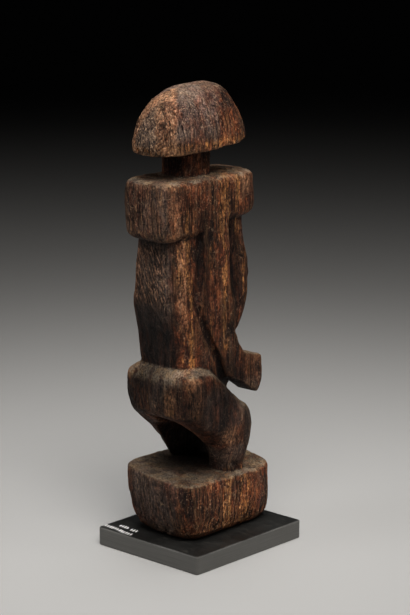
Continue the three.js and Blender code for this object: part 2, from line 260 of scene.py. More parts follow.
# weathered grain running up the wood
bend = np.stack([U + 1.6 * fbm(cells(20, 20, 44)(W), 41, 2), V + 1.6 * fbm(cells(20, 20, 44)(W), 44, 2), Z], axis=1)
grain_a = noise(cells(2.1, 2.1, 46)(bend), 51)
grain_b = noise(cells(1.15, 1.15, 22)(bend), 52)
grain_c = noise(cells(3.9, 3.9, 70)(bend), 53)
open_grain = 0.35 + 0.65 * step(fbm(cells(16, 16, 30)(W), 54, 2), 0.35, 0.65)
along = upright ** 0.7
along = along * (1 - 0.7 * step(-NU, 0.55, 0.9) * step(Z, 126, 132) * (1 - step(Z, 200, 207)) * (1 - step(V, 4, 12)))
depth -= 0.34 * open_grain * along * step(1 - np.abs(2 * grain_a - 1), 0.62, 1.0)
depth -= 0.17 * open_grain * along * step(1 - np.abs(2 * grain_b - 1), 0.6, 1.0)
depth -= 0.42 * along * step(1 - np.abs(2 * grain_c - 1), 0.80, 1.0)


# ---- tool strokes: short parallel nicks, a is along the stroke and b across it (mm)
def strokes(a, b, pitch, length, seed, deep):
    wob = b + 0.5 * pitch * (noise(np.stack([a / 9, b / 9, a * 0], 1), seed) - 0.5)
    row = np.floor(wob / pitch)
    phase = wob / pitch - row
    shift = (np.sin(row * 12.9898 + seed) * 43758.5453) % 1.0
    seg = a / length + shift
    part = seg - np.floor(seg)
    on = step(part, 0.02, 0.16) * (1 - step(part, 0.60, 0.92))
    pick = (np.sin((row * 7.13 + np.floor(seg) * 3.71) * 12.9898) * 43758.5453) % 1.0
    return -deep * np.sin(np.pi * phase) ** 2 * on * (0.35 + 0.65 * pick)


back_face = step(-NU, 0.55, 0.9)
torso_cut = back_face * step(Z, 164, 170) * (1 - step(Z, 200, 207)) * step(V, -21, -15) * (1 - step(V, 6, 13))
lean_s, lean_c = math.sin(math.radians(24)), math.cos(math.radians(24))
depth += torso_cut * strokes(Z * lean_c - V * lean_s, Z * lean_s + V * lean_c, 2.3, 8.5, 61, 0.85)

head_zone = step(Z, 262, 266)
head_cut = head_zone * step(-NU, 0.5, 0.85) * (1 - step(Z, 284, 290))
lean_s, lean_c = math.sin(math.radians(-38)), math.cos(math.radians(-38))
depth += head_cut * strokes(Z * lean_c - V * lean_s, Z * lean_s + V * lean_c, 2.2, 8.0, 62, 0.50)

hip_band = step(Z, 113, 118) * (1 - step(Z, 123, 125.5)) * step(-NU, 0.25, 0.7) * step(V, -24, -12) * (1 - step(V, 12, 20))
lean_s, lean_c = math.sin(math.radians(16)), math.cos(math.radians(16))
depth += hip_band * strokes(Z * lean_c - V * lean_s, Z * lean_s + V * lean_c, 2.1, 7.0, 63, 0.55)

hip_back = back_face * step(Z, 92, 97) * (1 - step(Z, 112, 116))
depth += hip_back * strokes(Z, V, 1.9, 30.0, 64, 0.30)
slab_back = back_face * step(Z, 208, 212) * (1 - step(Z, 243, 246))
depth += slab_back * strokes(Z, V, 2.0, 22.0, 65, 0.42)
slab_rim = step(Z, 238, 242) * (1 - step(Z, 245.2, 246.5)) * (1 - step(U, -36, -24)) * step(upright, 0.3, 0.7)
depth += slab_rim * strokes(Z - 0.4 * U, U + V, 1.9, 6.0, 66, 0.40)

# ---- the arms set off from the body
on_side = step(side_face, 0.25, 0.6) * step(np.abs(V), 13, 17)
torso_band = step(Z, 108, 114)
arm_back = near_path([(-20.4, 218), (-22.0, 200), (-23.2, 186), (-28.2, 168), (-24.2, 157), (-18.2, 146), (-7.4, 126), (-3.5, 114)], U, Z)
depth += groove(arm_back, 2.2, 2.0) * on_side * torso_band * (1 - step(Z, 206, 214))
arm_front = near_path([(8.2, 216), (8.8, 190), (9.8, 172), (11.0, 158)], U, Z)
flute = on_side * step(Z, 156, 172) * (1 - step(Z, 209, 216))
depth += groove(arm_front, 3.4, 3.2) * flute
lower_front = near_path([(10.6, 160), (12.2, 148), (14.6, 139)], U, Z)
depth += groove(lower_front, 1.6, 1.0) * on_side * step(Z, 134, 140) * (1 - step(Z, 158, 164))

# the fist stands a little proud of the forearm
depth -= 0.7 * on_side * (1 - step(U, 16.2, 17.4)) * step(U, 2, 10) * step(Z, 106, 112) * (1 - step(Z, 128, 134)) * step(side_face, 0.8, 0.95)

# ---- drying cracks that follow the grain
rng = np.random.default_rng(7)


def crack(u, v, z0, z1, wide, deep, drift=1.2, across="u"):
    """A vertical check through the face at (u, v), between z0 and z1."""
    t = np.clip((Z - z0) / (z1 - z0), 0, 1)
    line = drift * (noise(np.stack([Z / 13, Z * 0 + u, Z * 0 + v], 1), 71) - 0.5) * 2
    d = np.abs((U - u if across == "u" else V - v) - line)
    near = np.abs(V - v) < 9 if across == "u" else np.abs(U - u) < 9
    fade = np.sin(np.pi * t) ** 0.5 * ((Z > z0) & (Z < z1))
    return -deep * fade * near * np.exp(-(d / wide) ** 2)


for c in [
    (6.6, 30, 84, 104, 0.55, 1.5, 1.0, "u"), (-2.4, 24.6, 128, 176, 0.5, 0.9, 0.8, "u"),
    (-11.0, 21.6, 214, 246, 0.5, 1.1, 1.0, "u"), (14.0, 21.0, 217, 245, 0.6, 1.4, 0.8, "u"),
    (4.0, 21.4, 262, 283, 0.55, 1.3, 0.8, "u"), (20.0, 16.0, 263, 290, 0.6, 1.4, 1.0, "u"), (11.5, 19.0, 262, 276, 0.5, 1.2, 0.6, "u"),
    (-9.0, 28.6, 16, 47, 0.55, 1.2, 1.2, "u"), (3.5, 28.8, 22, 50, 0.6, 1.4, 1.4, "u"), (16.0, 28.6, 14, 44, 0.5, 1.0, 1.0, "u"),
    (-42.0, 6.2, 170, 212, 0.5, 0.7, 0.9, "v"), (-52.0, -3.0, 214, 243, 0.55, 1.2, 0.8, "v"), (-52.0, 8.4, 212, 236, 0.5, 1.0, 0.8, "v"),
    (-42.0, 14.2, 14, 46, 0.5, 0.8, 1.0, "v"), (-42.0, -12.0, 18, 40, 0.5, 0.8, 1.0, "v"),
    (8.0, -28.8, 18, 50, 0.6, 1.3, 1.4, "u"), (-14.0, -28.6, 20, 46, 0.5, 1.0, 1.4, "u"), (-6.0, -21.6, 214, 246, 0.55, 1.2, 1.0, "u"),
    (12.0, -21.2, 262, 284, 0.55, 1.2, 0.8, "u"), (-20.0, -20.5, 262, 280, 0.5, 1.0, 0.8, "u"), (-4.0, -24.6, 124, 172, 0.5, 0.9, 0.8, "u"),
    (48.0, 3.0, 16, 44, 0.55, 1.2, 1.0, "v"), (36.0, -4.0, 218, 244, 0.55, 1.2, 0.8, "v"), (28.0, 6.0, 160, 205, 0.5, 0.9, 1.2, "v"),
]:
    depth += crack(*c)

# ---- worn and nicked outward edges, a ragged rim under the head and a rough lower edge
nick = fbm(cells(4.2, 4.2, 6.0)(W), 81, 2)
depth -= edge * 1.0 * step(nick, 0.55, 0.80)
rim = step(Z, 261.5, 264) * (1 - step(Z, 267, 272)) * step(upright, 0.2, 0.6)
depth -= rim * 1.1 * step(fbm(cells(2.4, 2.4, 9)(W), 83, 2), 0.55, 0.75)
foot = step(Z, 11, 13) * (1 - step(Z, 18, 25))
depth -= foot * 0.9 * step(fbm(cells(4.6, 4.6, 5.0)(W), 85, 3), 0.54, 0.74)
depth += groove(near_path([(6.0, 57.4), (9.5, 54.6), (13.0, 52.8)], U, Z), 1.4, 0.9) * step(V, 18, 22)

chip_line = near_path([(4.6, 28.0), (9.0, 25.8), (13.5, 24.6), (19.0, 23.4)], U, V)
on_top = step(Z, 50.5, 51.5) * (1 - step(Z, 55.5, 57))
depth += groove(chip_line, 0.9, 0.8) * on_top

# ---- small pits and bruises
pits = noise(cells(1.7, 1.7, 2.4)(W), 91)
depth -= 0.30 * step(pits, 0.80, 0.95)
top_face = step(NZ, 0.6, 0.9)
depth -= 0.22 * top_face * step(noise(cells(1.4, 1.4, 1.4)(W), 93), 0.6, 0.9)

depth = np.minimum(depth, 0.45) - 0.12
P = P + N * depth[:, None]
P = smooth(P, 1, 0.25)

lo, hi = (np.array(x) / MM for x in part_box("figure"))
P = np.clip(P, lo + 0.01, hi - 0.01)
N = normals(P)

# ------------------------------------------------------------------ wear, dust, colour zones, painted light and shade
U, V, Z = -P[:, 1], -P[:, 0], P[:, 2]
NU, NV, NZ = -N[:, 1], -N[:, 0], N[:, 2]
W = np.stack([U, V, Z], axis=1)
fine = smooth(P, 6)
hollow = np.sum((fine - P) * N, axis=1)
ridge_wear = np.clip(-hollow / 0.10, 0, 1)
pit_dark = np.clip(hollow / 0.10, 0, 1)
cloud = fbm(cells(13, 13, 24)(W), 101, 3)
mottle = fbm(cells(4.5, 4.5, 7)(W), 104, 3)

shut = np.empty(count)
for i, p in enumerate((P * MM).tolist()):
    near = recess_points.find_n(p, 3)
    w = [1.0 / (d + 1e-4) for _, _, d in near]
    shut[i] = sum(a * recess_shut[j] for a, (_, j, _) in zip(w, near)) / sum(w)
shut = smooth(shut, 6)
shut = step(shut, 0.10, 0.72)

dust = step(NZ + 0.45 * (cloud - 0.5), 0.40, 0.85) * (0.35 + 0.65 * step(mottle, 0.36, 0.60))
dust *= (1 - 0.75 * head_zone) * (1 - 0.45 * shut)
dust = np.clip(dust * (1 + 1.1 * np.exp(-((Z - 121) / 6) ** 2)), 0, 1)
top_band = step(Z, 114, 119) * (1 - step(Z, 125, 127)) * (1 - step(U, -30, -18)) * (1 - step(V, 14, 26))
dust = np.maximum(dust, top_band * step(mottle, 0.32, 0.54))
wear = np.clip(0.9 * edge * step(mottle, 0.35, 0.65) + 0.35 * ridge_wear * step(cloud, 0.35, 0.6), 0, 1) * (1 - 0.8 * shut)
# painted shade with dark patina: creases and small pits made darker
dark = np.clip(0.7 * crease + 0.8 * pit_dark, 0, 1)

m = np.zeros((3, count))        # ochre streaks, worn tan, cool grey bloom
# painted shade: the wood starts darker wherever the surface is shut in, in recesses and under overhangs
tone = 1 - 0.62 * shut
# The wood's own upright layers, as they run through the whole block: R is the distance across them.
R = 0.678 * U + 0.735 * np.abs(V) + 3.0 * (fbm(cells(30, 30, 60)(W), 111, 2) - 0.5) + 1.2 * (mottle - 0.5)


def layers(lo, hi, soft_edge=2.0):
    return step(R, lo - soft_edge / 2, lo + soft_edge / 2) * (1 - step(R, hi - soft_edge / 2, hi + soft_edge / 2))


def shade(amount, u, v, z, ru, rv, rz, both=True):
    global tone
    a = blob(u, v, z, ru, rv, rz)
    if both and abs(v) > 8:
        a = np.maximum(a, blob(u, -v, z, ru, rv, rz))
    tone = tone * (1 + (amount - 1) * a)


def paint(row, amount, u, v, z, ru, rv, rz, both=True):
    a = blob(u, v, z, ru, rv, rz)
    if both and abs(v) > 8:
        a = np.maximum(a, 0.8 * blob(u + 2, -v, z - 2, ru, rv, rz))
    m[row] = np.maximum(m[row], amount * a)


right_face = step(np.abs(NV), 0.5, 0.85)
OCHRE, TAN, COOL = 0, 1, 2


def stain(row, amount, where):
    m[row] = np.maximum(m[row], amount * where)


def between(lo, hi, soft_edge=4.0):
    return step(Z, lo - soft_edge / 2, lo + soft_edge / 2) * (1 - step(Z, hi - soft_edge / 2, hi + soft_edge / 2))


m[0] = 0.05 + 0.15 * right_face
# head: a worn tan layer, a broad grey one, ochre towards the rim and the front
crown = step(Z, 268, 276)
stain(TAN, 0.95, head_zone * layers(-28.2, -14.6, 2))
stain(COOL, 0.85, head_zone * crown * layers(-14.6, 12, 4))
stain(COOL, 1.0, head_zone * step(Z, 266, 270) * layers(-36.5, -27.8, 2.5))
tone *= 1 - 0.22 * head_zone * layers(-36.5, -27.8, 2.5)
tone *= 1 + 0.22 * head_zone * layers(-80, -36.5, 2.5)
stain(TAN, 0.55, head_zone * layers(-80, -37, 3) * (1 - step(Z, 280, 290)))
stain(OCHRE, 0.85, head_zone * (1 - crown))
stain(OCHRE, 0.55, head_zone * layers(13, 60, 6))
# shoulder block
block_zone = between(205, 247)
stain(OCHRE, 0.80, block_zone * layers(-10, -4.5, 2))
stain(OCHRE, 1.00, block_zone * layers(11, 18.5, 2))
stain(OCHRE, 0.85, block_zone * layers(21, 26, 2))
stain(OCHRE, 0.45, block_zone * layers(-26, -18, 4))
stain(COOL, 0.45, block_zone * layers(-60, -19, 8))
stain(TAN, 0.40, block_zone * layers(-19, -10, 4))
tone *= 1 - 0.14 * block_zone * layers(-60, -24, 6) - 0.12 * block_zone * layers(-33, -19, 5)
paint(TAN, 1.0, 23, 20, 240, 7, 8, 7)
# body: the worn back corner, the arm's streaks and the strip in front of the groove
body_zone = between(113, 208)
stain(TAN, 0.42, between(150, 208) * layers(-14.5, -7.5, 3) * (U < -18))
stain(OCHRE, 0.70, body_zone * layers(-14.5, -2.5, 3) * (U < -16))
stain(OCHRE, 1.0, body_zone * layers(-9, -3.5, 2) * (U < -16))
stain(OCHRE, 0.85, between(132, 208) * layers(6, 9.6, 1.5))
stain(OCHRE, 1.00, between(132, 208) * layers(13.6, 17.6, 1.5))
stain(OCHRE, 0.90, between(160, 206) * layers(26, 30, 1.5))
stain(COOL, 0.80, body_zone * layers(-60, -18, 6))
tone *= 1 - 0.20 * body_zone * layers(-60, -16, 4)
tone *= 1 + 0.16 * body_zone * layers(-13.5, -3, 2)
stain(COOL, 0.60, between(84, 112) * layers(2, 40, 6))
stain(COOL, 0.70, between(88, 116) * layers(-60, -24, 6))
stain(COOL, 0.65, between(54, 70) * layers(-12, 40, 4))
tone *= 1 - 0.26 * between(52, 70, 6) * layers(-14, 40, 4)
paint(OCHRE, 0.8, 23, 26, 117, 9, 6, 14)
paint(TAN, 0.35, 23, 26, 117, 9, 6, 14)
# hips and shins
paint(TAN, 0.9, -41, 12, 104, 5, 5, 10, False)
paint(OCHRE, 1.0, -41, 12, 104, 5, 6, 12, False)
paint(TAN, 0.65, -34, 29, 108, 5, 5, 13)
paint(OCHRE, 0.8, -33, 29, 108, 8, 6, 15)
paint(TAN, 0.7, -35, 29, 121, 6, 5, 4)
paint(TAN, 0.8, -4, 29, 78, 9, 5, 7)
chip_line = near_path([(5.6, 26.6), (10.0, 24.6), (16.0, 23.2)], U, V)
stain(TAN, 1.0, np.exp(-(chip_line / 1.0) ** 2) * step(Z, 50, 51) * (1 - step(Z, 55, 57)))
stain(OCHRE, 0.6, between(62, 112) * layers(-4, 2, 2))
stain(COOL, 0.60, between(64, 104) * layers(28.5, 60, 1.5))
tone *= 1 - 0.38 * between(60, 104) * layers(28.5, 60, 1.2)
# base block
base_zone = between(8, 60)
stain(OCHRE, 0.95, base_zone * layers(14.5, 20.5, 2))
stain(OCHRE, 1.00, base_zone * layers(25, 32, 2))
stain(OCHRE, 0.60, base_zone * layers(2, 11, 4))
stain(COOL, 0.80, base_zone * layers(-60, -16, 6))
tone *= 1 - 0.22 * base_zone * layers(-80, -35, 5)
shade(1.55, -12, 0, 285, 54, 34, 30)
shade(0.62, -46, -4, 278, 14, 22, 26, False)
shade(0.85, 22, 14, 280, 20, 22, 26)
shade(1.10, -20, 0, 236, 44, 30, 18)
# painted light on the part of the slab top that reaches out beyond the head
shade(1.15, -36, 0, 247, 24, 24, 6, False)
shade(0.85, -40, -4, 186, 12, 20, 26, False)
# darker patina and painted shade on the down-facing lower back of the torso
shade(0.20, -40, -8, 142, 14, 25, 32, False)
shade(0.48, -42, -10, 104, 12, 26, 17, False)
shade(0.62, -38, 24, 104, 16, 18, 15)
shade(0.48, -42, -4, 32, 12, 27, 24, False)
# painted shade in the hollow under the thighs
shade(0.35, -6, -5, 70, 32, 14, 22, False)
# painted shadow of the head on the neck and the slab top
shade(0.60, -13, 0, 256, 18, 16, 10)
# the slab top right of the neck made lighter again
shade(1.30, 8, 10, 247, 22, 14, 6)
# painted shadow under the slab, along the top of the back
shade(0.52, -42, -6, 207, 14, 26, 7, False)
# painted shade under the fists, on both sides
shade(0.45, 2, 22, 113, 20, 14, 18)
shade(0.32, -20, 28, 99, 27, 14, 22)
shade(0.86, 8, 28, 90, 22, 14, 18)
shade(1.00, 10, 26, 68, 20, 14, 16)
shade(0.80, 26, 24, 118, 12, 10, 18)
# painted shade in the grooves behind and in front of the arms
shade(0.28, -20.0, 21, 194, 5, 8, 32)
shade(0.26, 9.5, 20, 192, 6, 8, 36)
shade(0.85, 24, 20, 170, 14, 12, 44)
shade(1.42, 8, 28, 32, 38, 12, 26)
shade(0.70, 0, 0, 54, 60, 40, 6)
# painted shade along the gap between each arm and the body
arm_gap = near_path([(-22.0, 170), (-20.2, 157), (-14.2, 145), (-4.4, 126), (-1.5, 114)], U, Z)
tone *= 1 - 0.55 * np.exp(-(arm_gap / 3.4) ** 2) * (np.abs(V) > 14)
tone *= 1 + 0.95 * top_band * step(-NU, -0.2, 0.5)
tone = np.clip(tone, 0.05, 1.9)
m[0] *= (0.55 + 0.9 * cloud) * (1 - 0.45 * m[2])
# short slanting tool strokes on the back, cross-cut strokes on the head, thin upright lines
cuts = np.stack([
    np.clip(torso_cut * (0.6 + 0.8 * cloud), 0, 1),
    np.clip(head_zone * (layers(-80, -27, 6) + 0.45 * layers(-27, -14, 4)) * (1 - step(Z, 288, 296)), 0, 1),
    np.clip(slab_back + hip_back + slab_rim + 1.4 * hip_band + 0.35 * back_face * (Z < 56), 0, 1),
])
m[1] *= 0.35 + 0.9 * step(mottle, 0.30, 0.62)
m[2] *= 0.4 + 0.8 * step(cloud, 0.3, 0.6)
m = np.clip(m, 0, 1)

grid.vertices.foreach_set("co", (P * MM).astype(np.float32).ravel())


def colour_layer(mesh, name, r, g, b):
    layer = mesh.attributes.new(name, "FLOAT_COLOR", "POINT")
    data = np.ones((len(mesh.vertices), 4), np.float32)
    data[:, 0], data[:, 1], data[:, 2] = r, g, b
    layer.data.foreach_set("color", data.ravel())


colour_layer(grid, "zones", *m)
colour_layer(grid, "dust_wear_crease_shade", np.clip(dust, 0, 1), wear, dark)
# tone carries the wood's darker and lighter patches together with the painted light and shade
colour_layer(grid, "tone", tone / 2, shut, edge)
colour_layer(grid, "cuts", *cuts)
grid.update()

figure = bpy.data.objects.new("figure_wood", grid)
bpy.context.scene.collection.objects.link(figure)
triangles = int(np.sum(totals - 2))
if triangles > MAX_TRIANGLES:
    thin = figure.modifiers.new("thin", "DECIMATE")
    thin.decimate_type = "COLLAPSE"
    thin.ratio = MAX_TRIANGLES / triangles
    thin.use_collapse_triangulate = True
    dg = bpy.context.evaluated_depsgraph_get()
    final = bpy.data.meshes.new_from_object(figure.evaluated_get(dg))
    figure.modifiers.clear()
    figure.data = final
    bpy.data.meshes.remove(grid)
figure.data.name = "figure_wood"
figure.data.shade_smooth()
print("figure grid", count, "points,", triangles, "triangles; kept", len(figure.data.polygons), [a.name for a in figure.data.attributes])


# ------------------------------------------------------------------ material tools
class Nodes:
    """Short hand for building a material's nodes."""

    def __init__(self, name):
        self.material = bpy.data.materials.new(name)
        self.material.use_nodes = True
        self.tree = self.material.node_tree
        self.tree.nodes.clear()
        self.out = self.add("ShaderNodeOutputMaterial")
        self.shader = self.add("ShaderNodeBsdfPrincipled")
        self.tree.links.new(self.shader.outputs[0], self.out.inputs[0])

    def add(self, kind, **settings):
        n = self.tree.nodes.new(kind)
        for k, v in settings.items():
            setattr(n, k, v)
        return n

    def put(self, socket, value):
        if isinstance(value, bpy.types.NodeSocket):
            self.tree.links.new(value, socket)
        else:
            socket.default_value = value

    def coords(self, size=(1, 1, 1)):
        """Object coordinates in cells of that size, in mm."""
        c = self.add("ShaderNodeTexCoord")
        m = self.add("ShaderNodeMapping")
        m.inputs["Scale"].default_value = [1000.0 / s for s in size]
        self.tree.links.new(c.outputs["Object"], m.inputs["Vector"])
        return m.outputs[0]

    def noise(self, size, detail=3.0, rough=0.55, distortion=0.0, seed=0.0):
        n = self.add("ShaderNodeTexNoise", noise_dimensions="4D")
        self.put(n.inputs["Vector"], self.coords(size))
        n.inputs["W"].default_value = seed
        n.inputs["Scale"].default_value = 1.0
        n.inputs["Detail"].default_value = detail
        n.inputs["Roughness"].default_value = rough
        n.inputs["Distortion"].default_value = distortion
        return n.outputs[0]

    def ramp(self, value, lo, hi, a=0.0, b=1.0):
        n = self.add("ShaderNodeMapRange", interpolation_type="SMOOTHSTEP")
        for k, v in zip(("Value", "From Min", "From Max", "To Min", "To Max"), (value, lo, hi, a, b)):
            self.put(n.inputs[k], v)
        return n.outputs[0]

    def math(self, operation, a, b=0.0, clamp=False):
        n = self.add("ShaderNodeMath", operation=operation, use_clamp=clamp)
        self.put(n.inputs[0], a)
        self.put(n.inputs[1], b)
        return n.outputs[0]

    def mix(self, factor, a, b, blend="MIX"):
        n = self.add("ShaderNodeMix", data_type="RGBA", blend_type=blend)
        self.put(n.inputs[0], factor)
        self.put(n.inputs[6], a if isinstance(a, bpy.types.NodeSocket) else (*a, 1.0))
        self.put(n.inputs[7], b if isinstance(b, bpy.types.NodeSocket) else (*b, 1.0))
        return n.outputs[2]

    def gain(self, colour, amount):
        n = self.add("ShaderNodeVectorMath", operation="SCALE")
        self.put(n.inputs[0], colour)
        self.put(n.inputs["Scale"], amount)
        return n.outputs[0]

    def leaning(self, degrees, across, along, detail=2.0, rough=0.5, distortion=0.3, seed=0.0):
        """Streaky noise whose long side leans in the plane of the back."""
        c = self.add("ShaderNodeTexCoord")
        s, k = math.sin(math.radians(degrees)), math.cos(math.radians(degrees))
        out = self.add("ShaderNodeCombineXYZ")
        for i, v in enumerate(((k / across, 0, -s / across), (0, 1 / across, 0), (s / along, 0, k / along))):
            d = self.add("ShaderNodeVectorMath", operation="DOT_PRODUCT")
            self.tree.links.new(c.outputs["Object"], d.inputs[0])
            d.inputs[1].default_value = [1000.0 * t for t in v]
            self.tree.links.new(d.outputs["Value"], out.inputs[i])
        n = self.add("ShaderNodeTexNoise", noise_dimensions="4D")
        self.put(n.inputs["Vector"], out.outputs[0])
        n.inputs["W"].default_value = seed
        n.inputs["Scale"].default_value = 1.0
        n.inputs["Detail"].default_value = detail
        n.inputs["Roughness"].default_value = rough
        n.inputs["Distortion"].default_value = distortion
        return n.outputs[0]

    def cracks(self, size, warp, seed=0.0):
        """Distance to the border of irregular cells."""
        c = self.coords(size)
        w = self.add("ShaderNodeTexNoise", noise_dimensions="4D")
        self.put(w.inputs["Vector"], c)
        w.inputs["W"].default_value = seed
        w.inputs["Scale"].default_value = 0.7
        w.inputs["Detail"].default_value = 3.0
        a = self.add("ShaderNodeVectorMath", operation="MULTIPLY_ADD")
        self.put(a.inputs[0], w.outputs["Color"])
        a.inputs[1].default_value = (warp, warp, warp)
        self.put(a.inputs[2], c)
        v = self.add("ShaderNodeTexVoronoi", feature="DISTANCE_TO_EDGE")
        self.put(v.inputs["Vector"], a.outputs[0])
        v.inputs["Scale"].default_value = 1.0
        return v.outputs["Distance"]

    def layer(self, name):
        a = self.add("ShaderNodeAttribute", attribute_type="GEOMETRY", attribute_name=name)
        s = self.add("ShaderNodeSeparateColor")
        self.tree.links.new(a.outputs["Color"], s.inputs[0])
        return s.outputs[0], s.outputs[1], s.outputs[2]

    def bump(self, height, distance, strength=1.0, under=None):
        n = self.add("ShaderNodeBump")
        n.inputs["Strength"].default_value = strength
        n.inputs["Distance"].default_value = distance
        self.put(n.inputs["Height"], height)
        if under is not None:
            self.tree.links.new(under, n.inputs["Normal"])
        return n.outputs[0]


# ------------------------------------------------------------------ wood
def wood_material():
    n = Nodes("wood_patina")
    ochre, tan, cool = n.layer("zones")
    dust, wear, dark = n.layer("dust_wear_crease_shade")

    tone, shut, edge = n.layer("tone")
    cut, hatch, lined = n.layer("cuts")

    broad = n.noise((15, 15, 44), 4, 0.55, 0.5, 1)
    stain = n.noise((5.2, 5.2, 13), 5, 0.62, 0.8, 2)
    streak = n.noise((2.3, 2.3, 24), 5, 0.68, 1.5, 3)
    wide = n.noise((4.0, 4.0, 46), 4, 0.62, 0.8, 4)
    thread = n.noise((1.2, 1.2, 11), 3, 0.7, 1.2, 5)
    blotch = n.noise((5.5, 5.5, 8), 5, 0.7, 0.6, 6)
    grit = n.noise((1.5, 1.5, 2.6), 3, 0.7, 0.3, 7)
    speck = n.noise((0.95, 0.95, 1.3), 2, 0.7, 0.0, 8)
    crackle = n.cracks((2.3, 2.3, 3.6), 1.3, 9)
    hairline = n.cracks((7.5, 7.5, 9), 1.6, 10)

    base = n.mix(n.ramp(broad, 0.40, 0.60), (0.0150, 0.0078, 0.0078), (0.052, 0.0185, 0.0120))
    base = n.mix(n.ramp(stain, 0.48, 0.62, 0, 0.85), base, (0.115, 0.037, 0.0175))
    base = n.mix(n.ramp(wide, 0.50, 0.66, 0, 0.55), base, (0.150, 0.052, 0.022))
    # ochre grain streaks: more of them where the zone says so
    need = n.math("SUBTRACT", 0.74, n.math("MULTIPLY", ochre, 0.30))
    lines = n.ramp(streak, need, n.math("ADD", need, 0.12))
    fade = n.math("MULTIPLY", n.math("MULTIPLY", lines, n.ramp(ochre, 0.05, 0.6, 0.14, 1.0)), n.ramp(grit, 0.36, 0.54, 0.25, 1.0))
    base = n.mix(fade, base, (0.250, 0.118, 0.044))
    hot = n.math("MULTIPLY", n.ramp(streak, n.math("ADD", need, 0.06), n.math("ADD", need, 0.20)), n.math("MULTIPLY", ochre, n.ramp(blotch, 0.44, 0.60)))
    hot = n.math("MULTIPLY", hot, n.ramp(grit, 0.40, 0.58, 0.2, 1.0))
    base = n.mix(hot, base, (0.38, 0.255, 0.135))
    # worn tan patches, broken up by darker cell borders
    worn = n.math("MULTIPLY", tan, n.ramp(grit, 0.34, 0.60, 0.60, 1.0))
    worn = n.math("MULTIPLY", worn, n.ramp(crackle, 0.02, 0.16, 0.35, 1.0))
    base = n.mix(n.math("MULTIPLY", worn, n.ramp(blotch, 0.35, 0.60, 0.55, 0.95)), base, (0.350, 0.200, 0.130))
    # grey bloom
    base = n.mix(n.math("MULTIPLY", cool, n.ramp(blotch, 0.30, 0.62, 0.45, 0.90)), base, (0.100, 0.090, 0.096))
    # strokes of the adze and knife: pale crests
    strokes = n.ramp(n.leaning(24, 1.15, 8.0, 2, 0.55, 0.35, 11), 0.50, 0.58)
    base = n.mix(n.math("MULTIPLY", n.math("MULTIPLY", strokes, cut), n.ramp(blotch, 0.38, 0.54, 0.35, 1.0)), base, (0.430, 0.270, 0.205))
    cross = n.math("MAXIMUM", n.ramp(n.leaning(38, 0.9, 5.0, 2, 0.55, 0.5, 12), 0.52, 0.62), n.ramp(n.leaning(-42, 0.9, 4.0, 2, 0.55, 0.5, 13), 0.55, 0.65))
    base = n.mix(n.math("MULTIPLY", n.math("MULTIPLY", cross, hatch), n.ramp(grit, 0.35, 0.60, 0.3, 0.85)), base, (0.520, 0.395, 0.305))
    upright = n.ramp(n.leaning(5, 0.85, 12.0, 2, 0.6, 0.5, 14), 0.53, 0.64)
    base = n.mix(n.math("MULTIPLY", n.math("MULTIPLY", upright, lined), n.ramp(blotch, 0.42, 0.60, 0.15, 0.75)), base, (0.270, 0.165, 0.095))
    # uneven soaking, dark threads of open grain
    calm = n.math("MULTIPLY", n.math("ADD", tan, cool, True), 0.75)
    base = n.gain(base, n.ramp(grit, 0.30, 0.70, 0.35, 1.75))
    base = n.gain(base, n.ramp(speck, 0.34, 0.66, 0.62, 1.42))
    for soaked in (n.ramp(n.noise((8, 8, 20), 4, 0.6, 0.6, 15), 0.38, 0.60, 0.50, 1.40), n.ramp(n.noise((17, 17, 26), 3, 0.6, 0.8, 16), 0.36, 0.62, 0.62, 1.28)):
        base = n.gain(base, n.math("ADD", soaked, n.math("MULTIPLY", calm, n.math("SUBTRACT", 1.0, soaked))))
    base = n.mix(n.math("MULTIPLY", n.ramp(thread, 0.52, 0.66, 0.0, 0.60), n.math("MULTIPLY", n.ramp(blotch, 0.38, 0.58, 1.0, 0.15), n.ramp(cool, 0.2, 0.9, 1.0, 0.55))), base, (0.010, 0.005, 0.005))
    base = n.mix(n.math("MULTIPLY", wear, n.ramp(grit, 0.35, 0.6, 0.25, 0.75)), base, (0.330, 0.205, 0.115))
    # painted shade with dark patina: creases and pits darkened
    base = n.mix(n.math("MULTIPLY", dark, 0.75), base, (0.007, 0.004, 0.004))
    # long thin drying checks, and faint pale scratches beside them
    geometry = n.add("ShaderNodeNewGeometry")
    facing = n.add("ShaderNodeSeparateXYZ")
    n.tree.links.new(geometry.outputs["Normal"], facing.inputs[0])
    standing = n.ramp(n.math("ABSOLUTE", facing.outputs[2]), 0.40, 0.75, 1.0, 0.0)
    away = n.math("ABSOLUTE", n.math("SUBTRACT", n.noise((3.6, 3.6, 75), 2, 0.5, 0.4, 17), 0.5))
    checks = n.math("MULTIPLY", n.ramp(away, 0.004, 0.020, 1.0, 0.0), n.math("MULTIPLY", standing, n.ramp(n.noise((10, 10, 30), 2, 0.5, 0.0, 18), 0.46, 0.56)))
    base = n.mix(n.math("MULTIPLY", checks, 0.85), base, (0.006, 0.004, 0.004))
    beside = n.math("ABSOLUTE", n.math("SUBTRACT", n.leaning(-9, 7.0, 42.0, 2, 0.5, 0.6, 19), 0.46))
    scored = n.math("MULTIPLY", n.ramp(beside, 0.002, 0.010, 1.0, 0.0), n.math("MULTIPLY", standing, n.ramp(n.noise((7, 7, 12), 2, 0.5, 0.0, 20), 0.47, 0.56)))
    base = n.mix(n.math("MULTIPLY", scored, n.math("ADD", n.math("MULTIPLY", cool, 0.45), 0.10)), base, (0.300, 0.245, 0.200))
